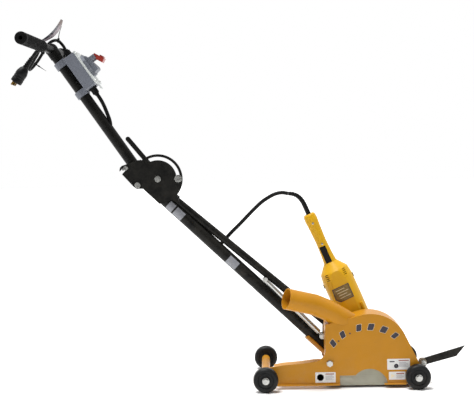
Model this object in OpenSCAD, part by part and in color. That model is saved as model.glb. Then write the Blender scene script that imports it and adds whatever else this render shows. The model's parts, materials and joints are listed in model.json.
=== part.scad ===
// Walk-behind concrete saw: a large angle grinder carried in a wheeled blade guard,
// lowered by a hand lever at the knuckle of a folding T-handle.
// Built with the rear wheel centre at X = 0, then shifted so that the origin is the
// middle of the footprint. X is forward, Y is away from the guard's open face, Z is up.

/* [Wheels] */
// Distance between the front and rear axles
wheelbase = 387; // [380:1:392]
// Wheel diameter
wheel_d = 63.5; // [62:0.5:64]
// Wheel width
wheel_w = 26; // [22:1:28]
// Distance between the middles of the two rear wheels
rear_track = 243; // [240:1:250]
// Distance between the middles of the two front wheels
front_track = 224; // [222:1:230]

/* [Guard] */
// Radius of the guard's round top
guard_r = 97; // [96:0.5:98]
// Height of the centre of the round top
guard_z = 94.5; // [94:0.5:95]
// Thickness of the folded steel plates
sheet = 5; // [4:0.5:5]
// Height of the plates above the floor
clearance = 9; // [8:0.5:10]
// Outer diameter of the dust port
port_d = 54; // [53.5:0.5:55]
// Bore of the dust port, for a two inch hose end
port_bore = 50.8; // [50:0.1:51]

/* [Blade] */
// Blade diameter
blade_d = 178; // [170:1:180]
// Blade thickness
blade_t = 2.4; // [2:0.1:3]
// Height of the blade centre when raised
blade_z = 93; // [92.5:0.5:93.5]

/* [Handle] */
// Diameter of the lower tube
lower_d = 32; // [31:0.5:33]
// Diameter of the upper tube
upper_d = 29.5; // [28:0.5:30]
// Wall of both tubes
tube_wall = 2; // [1.5:0.5:3]
// Length of the cross bar, grips included
bar_len = 610; // [560:5:640]
// Height of the cross bar
bar_z = 890; // [888:1:892]
// Length of each rubber grip
grip_len = 200; // [120:5:205]
// Diameter of each grip
grip_d = 30; // [28:1:32]

/* [Lowering gear] */
// Radius of the depth quadrant
quadrant_r = 65; // [64:0.5:66]
// Radius of the lever's crank
crank_r = 12.6; // [12.4:0.1:12.8]
// Diameter of the push rod
rod_d = 20; // [19:0.5:20]

/* [Grinder] */
// Angle of the motor above the floor
motor_angle = 67; // [66:0.5:68]
// Radius of the motor housing
motor_r = 41; // [40:0.5:42]
// Teeth of the bevel pinion
pinion_teeth = 10; // [10:1:10]
// Teeth of the bevel wheel
wheel_teeth = 35; // [35:1:35]

/* [Hidden] */
$fn = 64;

yellow = "goldenrod";
black = [0.12, 0.12, 0.12];
silver = "silver";
grey = [0.62, 0.63, 0.63];
fit = 0.05;
gap = 0.5;

// Layers across the machine, as Y positions
near_y = -95;
far_y = -25;
far_in = far_y - sheet;
blade_y = -62;
motor_y = 20;
plate_y = 17.5;
quad_y = -26;
lever_y = -20.5;
strut_y = -17;

// Main points in the X-Z plane
axle_z = wheel_d / 2;
guard_c = [270, guard_z];
head_pivot = [164.5, 65.5];
spindle_p = [270.5, blade_z];
guard_left = 154.5;
guard_corner = [guard_left, 165.5];
guard_front = [387, 75];
lower_angle = -43.8;
lower_mid = [-36, 277.5];
lower_from = -355;
lower_to = 280;
upper_angle = 124;
knuckle = [-304.4, 535];
bar_x = knuckle[0] + (bar_z - knuckle[1]) / tan(upper_angle);
fold_p = [-325, 530.5];
lever_p = [-271.4, 545.2];
rod_angle = -40.7;
rod_drop = 15;
rod_foot = lever_p + rod_drop * [-sin(-rod_angle), -cos(rod_angle)];
rod_len = 587;
rod_end = rod_foot + rod_len * [cos(rod_angle), sin(rod_angle)];
strut_eye = [4, 272.4];
strut_base = [151.5, 120.5];
strut_a = atan2(strut_base[1] - strut_eye[1], strut_base[0] - strut_eye[0]);
strut_len = norm(strut_base - strut_eye);
pointer_p = [408, 56];
pointer_tip = [516, 97.5];
mid_x = (pointer_tip[0] + bar_x - grip_d / 2) / 2;
wheel_r = wheel_d / 2;

// Route of the lead from the lower tube to the grinder, as X, Y, Z
grinder_route = [[-117, 15, 363], [-110, 24, 369], [-100, 28, 379], [-84, 28, 396],
    [-65, 27, 414], [-46, 26, 433], [-24, 25, 455], [-2, 23, 475], [16, 22, 487],
    [34, 21, 496], [52, 20, 499.5], [69.5, 20, 497]];
// Route of the lead from the switch box down to the upper tube
box_route = [[-427, 0, 770.5], [-419, 0, 758], [-411, 0, 742], [-403, 0, 721],
    [-397, 0, 703], [-395, 0, 688], [-397, 0, 674]];
// Route of the mains lead over the cross bar, folded twice beside it and into its plug
mains_route = [[-506.5, 0, 888.5], [-514, 3, 901], [-527, 10, 914], [-541, 16, 916],
    [-555, 20, 909], [-565, 20, 895], [-575, 18, 880], [-586, 15, 863], [-597, 9, 848],
    [-603, -2, 840], [-601, -13, 843], [-592, -20, 855], [-582, -24, 868],
    [-574, -28, 879], [-569, -36, 886], [-567, -45, 888], [-569, -54, 884],
    [-574, -59, 876], [-580.5, -60, 867]];
lead_d = 10;
box_lead_d = 10;
mains_d = 8;

plug_a = atan2(-0.811, -0.586);
plug_end = [-626, 804];
plug_y = -60;

// The whole machine is shifted so that the origin is under its middle
module place() translate([-mid_x, 0, 0]) children();
// An outline in the X-Z plane, from y to y + t
module plate(y, t) translate([0, y + t, 0]) rotate([90, 0, 0]) linear_extrude(t) children();
// A round bar along Y at point p, from y0 to y1
module bar_y(p, y0, y1, r) translate([p[0], y1, p[1]]) rotate([90, 0, 0])
    cylinder(h = y1 - y0, r = r);
// A hexagon bar along Y
module hex_y(p, y0, y1, af) translate([p[0], y1, p[1]]) rotate([90, 30, 0])
    cylinder(h = y1 - y0, r = af / sqrt(3), $fn = 6);
// Children with local Z along the direction a in the X-Z plane, starting at p
module along(p, a, y = 0) translate([p[0], y, p[1]]) rotate([0, 90 - a, 0]) children();
// A straight round bar between two points in space
module bar3(p, q, r) {
    d = q - p;
    translate(p) rotate([0, acos(d[2] / norm(d)), atan2(d[1], d[0])]) cylinder(h = norm(d), r = r);
}
// A disc with a hole, along local Z
module ring(h, ro, ri) difference() {
    cylinder(h = h, r = ro);
    translate([0, 0, -1]) cylinder(h = h + 2, r = ri);
}
// The grinder's own frame: local Z runs up the motor from the blade centre
module on_motor() along(spindle_p, 180 - motor_angle, motor_y) children();

// A tube swept along a route, one ring of points for each point of the route
function unit(v) = v / norm(v);
function heading(p, i) = unit(p[min(i + 1, len(p) - 1)] - p[max(i - 1, 0)]);
function side_of(t) = unit(cross(t, abs(t[1]) < 0.9 ? [0, 1, 0] : [1, 0, 0]));
module swept(route, d, sides = 10) {
    n = len(route);
    points = [for (i = [0 : n - 1]) let (t = heading(route, i), u = side_of(t), w = cross(t, u))
        for (k = [0 : sides - 1]) let (a = 360 * k / sides)
            route[i] + d / 2 * (cos(a) * u + sin(a) * w)];
    walls = [for (i = [0 : n - 2]) for (k = [0 : sides - 1]) let (m = (k + 1) % sides)
        [i * sides + k, i * sides + m, (i + 1) * sides + m, (i + 1) * sides + k]];
    first = [for (k = [sides - 1 : -1 : 0]) k];
    last = [for (k = [0 : sides - 1]) (n - 1) * sides + k];
    polyhedron(points = points, faces = concat(walls, [first, last]), convexity = 6);
}

// ---- wheeled base ----

// Where a line from p touches the guard's round top; side is 1 or -1
function touch(p, r, side) = let (v = p - guard_c, f = atan2(v[1], v[0]) - side * acos(r / norm(v)))
    guard_c + r * [cos(f), sin(f)];

// The guard seen from the side, pulled in by d all round
module guard_outline(d = 0, floor_z = clearance) {
    left = guard_corner + [d, -d];
    front = guard_front + [-d, -d / 2];
    translate(guard_c) circle(r = guard_r - d, $fn = 128);
    polygon([[left[0], floor_z], left, touch(left, guard_r - d, 1), guard_c,
        touch(front, guard_r - d, -1), front, [397 - d, 54], [398 - d, 30], [390 - d, floor_z]]);
}

// The arm that carries the rear wheels, seen from the side
module arm_outline() {
    translate([0, axle_z]) circle(r = axle_z - clearance);
    polygon([[0, clearance], [0, 2 * axle_z - clearance], [45, 62], [88, 65.2], [126, 70],
        [guard_left + 1, 70], [guard_left + 1, clearance]]);
    difference() {
        translate([124, 69]) square([guard_left - 123, 31]);
        translate([124, 100]) circle(r = 30);
    }
}

// The opening in the side plate in front of the blade
module window_outline() {
    translate([190, 0]) square([113, 33]);
    translate([266, 2]) circle(r = 47.5);
}

module side_plate() color(yellow) place() {
    difference() {
        plate(near_y, sheet) difference() {
            union() {
                guard_outline();
                arm_outline();
            }
            window_outline();
        }
        bar_y(head_pivot, near_y - 1, -80, 5);
        bar_y([0, axle_z], near_y - 1, -80, 6.35);
        bar_y([wheelbase, axle_z], near_y - 1, -80, 6.35);
    }
    // outward lip along the bottom, either side of the opening
    for (x = [[28, 190], [303, 358]])
        translate([x[0], near_y - 7, clearance]) cube([x[1] - x[0], 7, 3]);
    // inward flange along the top of the arm
    plate(near_y + sheet, 26) polygon([[22, 53.6], [22, 57.6], [45, 62], [88, 65.2], [126, 70],
        [146, 70], [146, 66], [126, 66], [88, 61.2], [45, 58]]);
}

module guard_rim() color(yellow) place() difference() {
    plate(near_y + sheet, far_in - near_y - sheet) difference() {
        guard_outline();
        guard_outline(3, -5);
    }
    port_inside();
    bar_y([wheelbase, axle_z], near_y, far_y, 11.05);
}

// Slot in the far plate that lets the spindle swing about the head pivot
spindle_v = spindle_p - head_pivot;
spindle_a = atan2(spindle_v[1], spindle_v[0]);
swing = 15.5;
slot_half = 26;
module swing_slot() {
    reach = norm(spindle_v);
    for (a = [spindle_a, spindle_a - swing])
        translate(head_pivot + reach * [cos(a), sin(a)]) circle(r = slot_half);
    intersection() {
        translate(head_pivot) difference() {
            circle(r = reach + slot_half, $fn = 128);
            circle(r = reach - slot_half, $fn = 128);
        }
        translate(head_pivot) polygon([[0, 0], 200 * [cos(spindle_a), sin(spindle_a)],
            200 * [cos(spindle_a - swing), sin(spindle_a - swing)]]);
    }
}

module far_plate() color(yellow) place() difference() {
    plate(far_in, sheet) difference() {
        guard_outline();
        swing_slot();
        translate(strut_base) circle(r = 10);
    }
    bar_y(head_pivot, far_in - 1, far_y + 1, 5);
    bar_y([wheelbase, axle_z], far_in - 1, far_y + 1, 11.05);
}

port_path = [[56, -119, 239], [128, -92, 217.5], [165, -80, 199.5], [240, -60, 150]];
hose_depth = 60;
stop_step = 0.6;
module port_run(r) {
    for (i = [0 : 2]) bar3(port_path[i], port_path[i + 1], r);
    for (i = [1, 2]) translate(port_path[i]) sphere(r = r + 0.15);
}
module port_inside() {
    mouth_way = unit(port_path[1] - port_path[0]);
    port_run(port_bore / 2 - stop_step);
    bar3(port_path[0] - 10 * mouth_way, port_path[0] + hose_depth * mouth_way, port_bore / 2);
}

module dust_port() color(yellow) place() difference() {
    port_run(port_d / 2);
    port_inside();
    plate(near_y, far_y - near_y) guard_outline();
    plate(near_y, far_y - near_y) translate([200, 20]) square([90, 120]);
}

module view_window() color([0.75, 0.78, 0.7, 0.5]) place()
    plate(near_y + sheet, 3) difference() {
        union() {
            translate([180, 6]) square([133, 38]);
            translate([266, 2]) circle(r = 56);
        }
        translate([150, -60]) square([200, 66]);
    }

// How far along the lower tube, and how far above it, a place is
function on_lower(s, v = 0) = lower_mid + s * [cos(lower_angle), sin(lower_angle)]
    + v * [-sin(lower_angle), cos(lower_angle)];

module handle_socket() color(yellow) place() difference() {
    union() {
        // cradle under the tube
        difference() {
            along(on_lower(216), lower_angle) cylinder(h = 70, r = lower_d / 2 + 5);
            along(on_lower(200), lower_angle) translate([-60, -60, 0]) cube([69, 120, 100]);
        }
        // web to the guard
        plate(far_y, 8) polygon([[158, 52], [158, 100], [172, 106], [192, 84], [192, 56], [180, 52]]);
    }
    along(on_lower(190), lower_angle) cylinder(h = 120, r = lower_d / 2);
    bar_y(head_pivot, -40, 40, 5);
    plate(-8, 40) translate(head_pivot) circle(r = 22);
    // room for the swing arm
    translate([100, 17, 40]) cube([100, 10, 100]);
}

// A tube axle welded across the base, drilled at each end for a wheel bolt
module axle(x, half, ro) difference() {
    bar_y([x, axle_z], -half, half, ro);
    bar_y([x, axle_z], -half - 1, -half + 28, 5);
    bar_y([x, axle_z], half - 28, half + 1, 5);
}
rear_half = rear_track / 2 - wheel_w / 2 - 1;
front_half = front_track / 2 - wheel_w / 2 - 1;
module rear_axle() color(yellow) place() difference() {
    union() {
        axle(0, rear_half, 6.35);
        difference() {
            bar_y([0, axle_z], near_y + sheet, rear_half - 4, 11);
            bar_y([0, axle_z], -200, 200, 6.3);
        }
    }
}
module front_axle() color(yellow) place() union() {
    axle(wheelbase, front_half, 6.35);
    difference() {
        bar_y([wheelbase, axle_z], near_y + sheet, front_half - 4, 11);
        bar_y([wheelbase, axle_z], -200, 200, 6.3);
    }
}

// One wheel bolt: hexagon head and washer outside, shank through the wheel into the axle
module axle_bolt(x, half, s) {
    head = half + wheel_w + 2;
    mirror([0, s > 0 ? 0 : 1, 0]) {
        bar_y([x, axle_z], half - 24, head + 1, 4.95);
        bar_y([x, axle_z], head, head + 1.5, 9);
        hex_y([x, axle_z], head + 1.5, head + 7.5, 13);
    }
}
module axle_bolts() color(silver) place() for (s = [-1, 1]) {
    axle_bolt(0, rear_half, s);
    axle_bolt(wheelbase, front_half, s);
}

// Section of a wheel from its bore out, turned about its axle
module wheel_at(x, y) translate([x, y, axle_z]) rotate([90, 0, 0]) rotate_extrude($fn = 96)
    polygon([[5 + fit, -wheel_w / 2], [11, -wheel_w / 2], [12, -wheel_w / 2 + 3],
            [19, -wheel_w / 2 + 3], [21, -wheel_w / 2 + 0.5], [27, -wheel_w / 2 + 0.5],
            [30.6, -wheel_w / 2 + 3.5], [wheel_r, -6], [wheel_r, 6], [30.6, wheel_w / 2 - 3.5],
            [27, wheel_w / 2 - 0.5], [21, wheel_w / 2 - 0.5], [19, wheel_w / 2 - 3],
            [12, wheel_w / 2 - 3], [11, wheel_w / 2], [5 + fit, wheel_w / 2]]);
module wheel_rear_near() color(black) place() wheel_at(0, -rear_track / 2);
module wheel_rear_far() color(black) place() wheel_at(0, rear_track / 2);
module wheel_front_near() color(black) place() wheel_at(wheelbase, -front_track / 2);
module wheel_front_far() color(black) place() wheel_at(wheelbase, front_track / 2);

module pointer_bracket() color([0.45, 0.4, 0.33]) place() difference() {
    union() {
        for (y = [-64.5, -54.5]) plate(y, 4) polygon([[396, 38], [397.3, 52], [398, 62], [403, 66],
            [412, 66], [417, 60], [416, 49], [406, 40]]);
        plate(-60.5, 6) polygon([[396, 38], [397.3, 48], [399, 43], [400, 39]]);
    }
    bar_y(pointer_p, -80, -40, 4);
    plate(-90, 60) guard_outline();
}

module pointer_bar() color(black) place() difference() {
    plate(-60, 5) {
        translate(pointer_p) circle(r = 9);
        polygon([[405, 47.5], [411, 48.4], [494, 70.5], pointer_tip, [404, 64.5]]);
    }
    bar_y(pointer_p, -70, -40, 4 + fit);
}

// ---- handle: lower tube, quadrant and lowering gear ----

module lower_tube() color(black) place() {
    difference() {
        along(on_lower(lower_from), lower_angle) ring(lower_to - lower_from, lower_d / 2, lower_d / 2 - tube_wall);
        // end cut back so that the upper tube can fold past it
        bar_y(fold_p, -30, 30, 13);
        fold_side(-1);
        // hole for the grinder's lead
        translate(grinder_route[0] - [0, 8, 0]) rotate([-90, 0, 0]) cylinder(h = 20, r = 6.5);
        bar_y(strut_base, -30, -4, 4);
    }
    // lug for the strut
    difference() {
        plate(-11, 6) difference() {
            translate(strut_base) circle(r = 8);
            translate(on_lower(230, -10)) rotate(lower_angle) translate([-30, 0]) square([70, 14]);
        }
        bar_y(strut_base, -30, 30, 4);
    }
}

// The half space above (s = -1) or below the joint between the two handle tubes
split_a = 40;
module fold_side(s) translate([fold_p[0], -60, fold_p[1]]) rotate([0, -split_a, 0])
    translate([-200, 0, s < 0 ? -gap : gap - 400]) cube([400, 120, 400]);

module quadrant_outline() {
    intersection() {
        translate(lever_p) circle(r = quadrant_r, $fn = 128);
        translate(on_lower(0, -lower_d / 2 + 1)) rotate(lower_angle) translate([-500, 0]) square([500, 200]);
    }
    polygon([[-370, 577], [-371.5, 570], [-369, 563.5], [-364, 558.5], [-334, 525], [-325, 521], [-308, 520.5], [-215, 480], [-221.5, 503],
        [-240, 560], [-300, 595], [-322, 596], [-365, 582]]);
    translate([-325, 530.5]) circle(r = 10);
}
// Arc-shaped slot about point c, centre line radius r, between angles a and b
module arc_slot(c, r, half, a, b) translate(c) {
    for (t = [a, b]) rotate(t) translate([r, 0]) circle(r = half + 0.05);
    intersection() {
        difference() {
            circle(r = r + half, $fn = 128);
            circle(r = r - half, $fn = 128);
        }
        polygon(concat([[0, 0]], [for (k = [0 : 4]) 2 * r * [cos(a + k * (b - a) / 4), sin(a + k * (b - a) / 4)]]));
    }
}
stop_r = 53.8;
clamp_r = 54;
clamp_a = 123;
module fold_plate(y, with_disc) difference() {
    plate(y, sheet) difference() {
        if (with_disc) quadrant_outline();
        else polygon([[-370, 577], [-371.5, 570], [-369, 563.5], [-364, 558.5], [-334, 525], [-325, 521],
            [-308, 520.5], [-285, 511], [-262, 532], [-300, 585], [-322, 596], [-365, 582]]);
        arc_slot(fold_p, clamp_r, 4.6, clamp_a, 152);
        if (with_disc) arc_slot(lever_p, stop_r, 4.4, 0, 120);
    }
    bar_y(fold_p, -40, 40, 5);
    if (with_disc) bar_y(lever_p, -40, 0, 5);
}
module quadrant() color(black) place() {
    fold_plate(quad_y, true);
    fold_plate(-quad_y - sheet, false);
    // weld pads between the plates and the tube
    for (m = [0, 1]) mirror([0, m, 0]) difference() {
        plate(quad_y + sheet, 10) translate(on_lower(-330, -7)) rotate(lower_angle) square([26, 14]);
        along(on_lower(-400), lower_angle) cylinder(h = 200, r = lower_d / 2);
    }
}

// Hexagon bolt along Y, head at y0, thread end at y1
module bolt_y(p, y0, y1, r, af, wash) {
    bar_y(p, y0, y1, r);
    hex_y(p, y0 - r * 1.3 - 1.5, y0 - 1.5, af);
    bar_y(p, y0 - 1.5, y0, wash);
}
module nut_y(p, y, r, af) hex_y(p, y, y + r * 1.6, af);
module pivot_bolts() color(silver) place() {
    // head pivot, right across the guard
    bolt_y(head_pivot, near_y, 30, 5 - fit, 14, 8);
    nut_y(head_pivot, plate_y + 5.5, 5, 15);
    // lever pivot
    bolt_y(lever_p, quad_y, -11, 5 - fit, 12, 8.5);
    // fold pivot
    bolt_y(fold_p, quad_y, 34, 5 - fit, 13, 8);
    nut_y(fold_p, -quad_y, 5, 15);
}
module frame_bolts() color(silver) place() {
    // strut anchor
    bolt_y(strut_base, -22, -5, 4 - fit, 12, 8.5);
    // pointer bolt
    bolt_y(pointer_p, -64.5, -46, 4 - fit, 13, 7);
    nut_y(pointer_p, -50.5, 4, 13);
}

// Hand lever: cranked bar, hub, crank disc and the pin that works the push rod
lever_bend = lever_p + 52 * [cos(120), sin(120)];
lever_tip = [-347.5, 652];
crank_a = 99.3;
crank_p = lever_p + crank_r * [cos(crank_a), sin(crank_a)];
module lever() color(black) place() {
    difference() {
        union() {
            plate(lever_y, 5) {
                translate(lever_p) circle(r = 12);
                translate(lever_p) rotate(120) translate([0, -6]) square([52, 12]);
                translate(lever_bend) circle(r = 6);
                translate(lever_bend) rotate(atan2(lever_tip[1] - lever_bend[1], lever_tip[0] - lever_bend[0]))
                    translate([0, -6]) square([norm(lever_tip - lever_bend), 12]);
                translate(lever_tip) circle(r = 6);
            }
            bar_y(lever_p, lever_y + 5, lever_y + 9, 14);
        }
        bar_y(lever_p, -60, 20, 5);
    }
    // crank pin
    bar_y(crank_p, lever_y + 9, -3, 3);
    // guide screw in the slot
    bar_y(lever_p + stop_r * [cos(120), sin(120)], quad_y - 1, lever_y, 3);
    bar_y(lever_p + stop_r * [cos(120), sin(120)], quad_y - 4, quad_y - 1, 6);
}

module depth_stop() color(silver) place() {
    p = lever_p + [stop_r, 0];
    bar_y(p, quad_y - 3, quad_y + sheet + 0.3, 4);
    bar_y(p, quad_y - 3, quad_y - 0.3, 10);
    hex_y(p, quad_y - 9, quad_y - 3, 14);
    bar_y(p, quad_y + sheet + 0.3, quad_y + sheet + 4, 7);
}

module fold_clamp() color(silver) place() {
    p = fold_p + clamp_r * [cos(clamp_a), sin(clamp_a)];
    bar_y(p, quad_y - 8, -quad_y + 6, 4);
    bar_y(p, quad_y - 4, quad_y - 0.3, 6);
    bar_y(p, -quad_y + 0.3, -quad_y + 6, 8);
    // wing
    translate([p[0], quad_y - 11, p[1]]) rotate([0, -34, 0]) translate([-7, 0, -2.5]) cube([14, 8, 5]);
}

// Push rod in its own frame: local Z runs down the rod, local -X is above it
yoke_u = -crank_r * sin(49.7);
module pushrod() color(black) place() difference() {
    along(rod_foot, rod_angle) rod_and_yoke();
    // hollowed underneath where it runs over the tube
    along(on_lower(-400), lower_angle) cylinder(h = 400, r = lower_d / 2 + 0.4);
}
module rod_and_yoke() difference() {
    union() {
        difference() {
            translate([0, 0, 62]) cylinder(h = rod_len + 9 - 62, r = rod_d / 2);
            translate([0, 0, 215]) cylinder(h = rod_len - 215 - 20, r = rod_d / 2 - 2);
        }
        // yoke plate
        translate([-34, -11, -22]) cube([31, 6, 27]);
        translate([-14, -11, 4]) cube([11, 6, 70]);
        // lug for the strut
        translate([0, -10, strut_u - 7]) cube([17, 5, 14]);
    }
    // transverse slot for the crank pin
    translate([-31, -20, yoke_u - 3.5]) cube([13.5, 30, 8]);
    // bearing hole for the head's pin
    translate([0, 0, rod_len]) rotate([90, 0, 0]) translate([0, 0, -20]) cylinder(h = 40, r = 5 + fit);
    translate([-20, 8, rod_len - 16]) cube([40, 40, 40]);
    translate([-20, -48, rod_len - 16]) cube([40, 40, 40]);
    // hole for the strut's pin
    translate([strut_v, 20, strut_u]) rotate([90, 0, 0]) cylinder(h = 40, r = 3);
}
strut_u = (strut_eye - rod_foot) * [cos(rod_angle), sin(rod_angle)];
strut_v = (strut_eye - rod_foot) * [sin(rod_angle), -cos(rod_angle)];

// Strut in its own frame: local Z runs from the upper eye to the base
module on_strut() along(strut_eye, strut_a, strut_y) children();
module strut_rod() color(silver) place() {
    on_strut() difference() {
        union() {
            translate([0, 0, 5]) cylinder(h = 130, r = 5.2);
            rotate([90, 0, 0]) translate([0, 0, -4]) cylinder(h = 8, r = 6.5);
        }
        rotate([90, 0, 0]) translate([0, 0, -10]) cylinder(h = 20, r = 3);
    }
    // pin through the push rod's lug
    bar_y(strut_eye, strut_y - 6, -4, 3 - fit);
}
module strut_cylinder() color(grey) place() on_strut() difference() {
    union() {
        translate([0, 0, 80]) cylinder(h = 118, r = 7);
        translate([0, 0, 197]) cylinder(h = strut_len - 203, r = 2.9);
        translate([0, 0, strut_len]) rotate([90, 0, 0]) translate([0, 0, -3.5]) cylinder(h = 7.5, r = 7.5);
    }
    translate([0, 0, 79]) cylinder(h = 82, r = 5.2 + 0.1);
    translate([0, 0, strut_len]) rotate([90, 0, 0]) translate([0, 0, -20]) cylinder(h = 40, r = 4.6);
}

// ---- swinging head: arm, grinder and blade ----

module gear_solid(shrink = 0) {
    bar_y(spindle_p, -19 + shrink * 2, motor_y, 40 - shrink);
    on_motor() cylinder(h = 82, r = motor_r - shrink);
    translate([spindle_p[0], motor_y, spindle_p[1]]) sphere(r = motor_r + 0.4 - shrink);
}

module swing_plate() color(yellow) place() {
    // pin for the push rod, welded to the arm
    bar_y(rod_end, -10.5, plate_y, 5);
    bar_y(rod_end, -12.5, -10.5, 8);
    swing_arm();
}
module swing_arm() difference() {
    plate(plate_y, 5) {
        translate(head_pivot) circle(r = 14);
        translate(rod_end) circle(r = 12);
        polygon([head_pivot + [-12, 0], rod_end + [-10, 0], rod_end + [5, 9], [210, 143],
            [250, 132], [236, 60], head_pivot + [3, -12]]);
    }
    plate(plate_y - 1, 7) translate([190, 98]) circle(r = 14);
    bar_y(head_pivot, 0, 40, 5 + fit);
    gear_solid();
}

screw_spots = [for (a = [45 : 90 : 315]) a];
screw_r = 43;
// Something at each of the four screws that join the gear case to the housing
module at_screws(z) on_motor() for (a = screw_spots) rotate(a) translate([screw_r, 0, z]) children();

module gear_case() color([0.6, 0.6, 0.58]) place() difference() {
    union() {
        difference() {
            gear_solid();
            gear_solid(4);
        }
        bar_y(spindle_p, -36, -15, 22);
        // rear bearing seat, carried by the back wall
        bar_y(spindle_p, 34, 60, 19);
        // wall that carries the armature's front bearing
        intersection() {
            on_motor() translate([0, 0, 52]) ring(14, 39, 16);
            gear_solid();
        }
        on_motor() translate([0, 0, 66]) ring(16, motor_r - 2, 30);
        at_screws(66) ring(16, 5, 2);
        // boss of the spindle lock
        translate([spindle_p[0], 0, spindle_p[1]]) rotate([0, 90, 0]) translate([0, 0, 36])
            cylinder(h = 10, r = 7);
    }
    bar_y(spindle_p, -37, -14, 16);
    bar_y(spindle_p, 33, 46, 16);
    // spindle lock's bore
    translate([spindle_p[0], 0, spindle_p[1]]) rotate([0, 90, 0]) translate([0, 0, 30])
        cylinder(h = 30, r = 4 + fit);
    at_screws(60) cylinder(h = 60, r = 2.5);
    at_screws(45) cylinder(h = 21, r = 4.2);
}

module spindle_lock() color(black) place()
    translate([spindle_p[0], 0, spindle_p[1]]) rotate([0, 90, 0]) {
        translate([0, 0, 35]) cylinder(h = 15, r = 4);
        translate([0, 0, 50]) cylinder(h = 4, r = 6);
    }

// Motor housing: a round shell with a flat front and back face
module housing_solid(shrink = 0) intersection() {
    on_motor() rotate_extrude($fn = 96) polygon([[0, 82 - shrink], [motor_r - shrink, 82 - shrink],
        [motor_r + 0.5 - shrink, 120], [motor_r + 0.5 - shrink, 190], [38 - shrink, 213],
        [18 - shrink, 238], [18 - shrink, 238 + shrink], [0, 238 + shrink]]);
    translate([0, motor_y - 37 + shrink, 0]) cube([500, 74 - 2 * shrink, 500]);
}
module motor_housing() color(yellow) place() difference() {
    union() {
        difference() {
            housing_solid();
            housing_solid(3);
        }
        // wall that carries the armature's rear bearing
        intersection() {
            on_motor() translate([0, 0, 205]) ring(10, 37, 16);
            housing_solid();
        }
        at_screws(82.3) cylinder(h = 30, r = 5);
    }
    on_motor() translate([0, 0, 230]) cylinder(h = 20, r = 12);
    at_screws(80) cylinder(h = 30, r = 2.5);
    // brush holders
    on_motor() for (a = [0, 180]) rotate(a) translate([28, 0, 183]) rotate([0, 90, 0]) cylinder(h = 20, r = 6);
    // air slots
    on_motor() for (x = [-28, 20], k = [0 : 3]) translate([x, -45, 196 + k * 5]) cube([8, 90, 2.2]);
}

// Rear handle, split into a near and a far half
module handle_solid(shrink = 0) on_motor() rotate_extrude() polygon([[0, 238], [17.5 - shrink, 238],
    [15.5 - shrink, 262], [14.2 - shrink, 300], [15.5 - shrink, 335], [17.2 - shrink, 362],
    [16 - shrink, 374], [13 - shrink, 378 - shrink], [0, 378 - shrink]]);
module handle_half(s) difference() {
    handle_solid();
    difference() {
        handle_solid(3);
        on_motor() translate([-20, -20, 230]) cube([40, 40, 11]);
    }
    on_motor() translate([-30, s < 0 ? 0 : -60, 200]) cube([60, 60, 200]);
    on_motor() translate([-3, -30, 262]) translate([-8.3, 0, -23.3]) cube([16.6, 30, 46.6]);
    on_motor() translate([0, 0, 225]) cylinder(h = 20, r = 9);
    on_motor() translate([0, 0, 360]) cylinder(h = 30, r = 7);
}
module handle_half_near() color(yellow) place() handle_half(-1);
module handle_half_far() color(yellow) place() handle_half(1);

module switch_paddle() color(black) place() on_motor() translate([-3 - 8, -15, 262 - 23])
    cube([16, 7, 46]);
module switch_module() color([0.2, 0.2, 0.2]) place() on_motor() translate([-9, -1.5, 250])
    cube([14, 9, 32]);

module head_screws() color(silver) place() {
    at_screws(62) cylinder(h = 4, r = 3.6);
    at_screws(66) cylinder(h = 42, r = 2.45);
}
module brush_caps() color(black) place() on_motor() for (a = [0, 180]) rotate(a)
    translate([29, 0, 183]) rotate([0, 90, 0]) cylinder(h = 14, r = 5.9);

// Tapered rubber sleeve where the lead enters the handle
guard_route = [[70, 20, 497], [81, 20, 495.5], [92, 20, 491], [101.5, 20, 483],
    [108.5, 20, 473], [114, 20, 461.5], [118, 20, 452], [122.5, 20, 441.5], [126.5, 20, 432]];
module cord_guard() color(black) place() {
    swept(guard_route, 13, 12);
}

module stator() color([0.35, 0.25, 0.2]) place() on_motor() translate([0, 0, 95]) ring(62, 33.5, 24);
bearing_bore = 7.5;
bearing_r = 16;
bearing_w = 10;
module ball_bearings() color(silver) place() {
    on_motor() for (z = [54, 205]) translate([0, 0, z]) ring(bearing_w, bearing_r, bearing_bore);
    for (y = [-30, 34]) difference() {
        bar_y(spindle_p, y, y + bearing_w, bearing_r);
        bar_y(spindle_p, y - 1, y + bearing_w + 1, bearing_bore);
    }
}

// Straight-toothed bevel pair: both cones point at the crossing of the two axes
module_size = 1.6;
wheel_pitch = module_size * wheel_teeth / 2;
pinion_pitch = module_size * pinion_teeth / 2;
face_w = 6;
cone_a = atan(wheel_pitch / pinion_pitch);
cone_len = norm([wheel_pitch, pinion_pitch]);
// One tooth standing on a pitch cone of half angle a; local Z is the gear's axis, apex at 0
module bevel_tooth(a) rotate([0, a, 0]) translate([0, 0, cone_len - face_w]) rotate([0, 0, -90])
    linear_extrude(face_w) polygon([[-1.1, -1.4], [1.1, -1.4], [0.45, 0.7], [-0.45, 0.7]]);
module bevel_body(a, bore) {
    r0 = (cone_len - face_w) * sin(a) - 1.1 * cos(a);
    r1 = cone_len * sin(a) - 1.1 * cos(a);
    z0 = (cone_len - face_w) * cos(a) + 1.1 * sin(a);
    z1 = cone_len * cos(a) + 1.1 * sin(a);
    rotate_extrude() polygon([[bore, z0], [r0, z0], [r1, z1], [r1, z1 + 3], [bore, z1 + 3]]);
}
module bevel_gear(teeth, a, bore) {
    bevel_body(a, bore);
    for (k = [0 : teeth - 1]) rotate(k * 360 / teeth) bevel_tooth(a);
}

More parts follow.
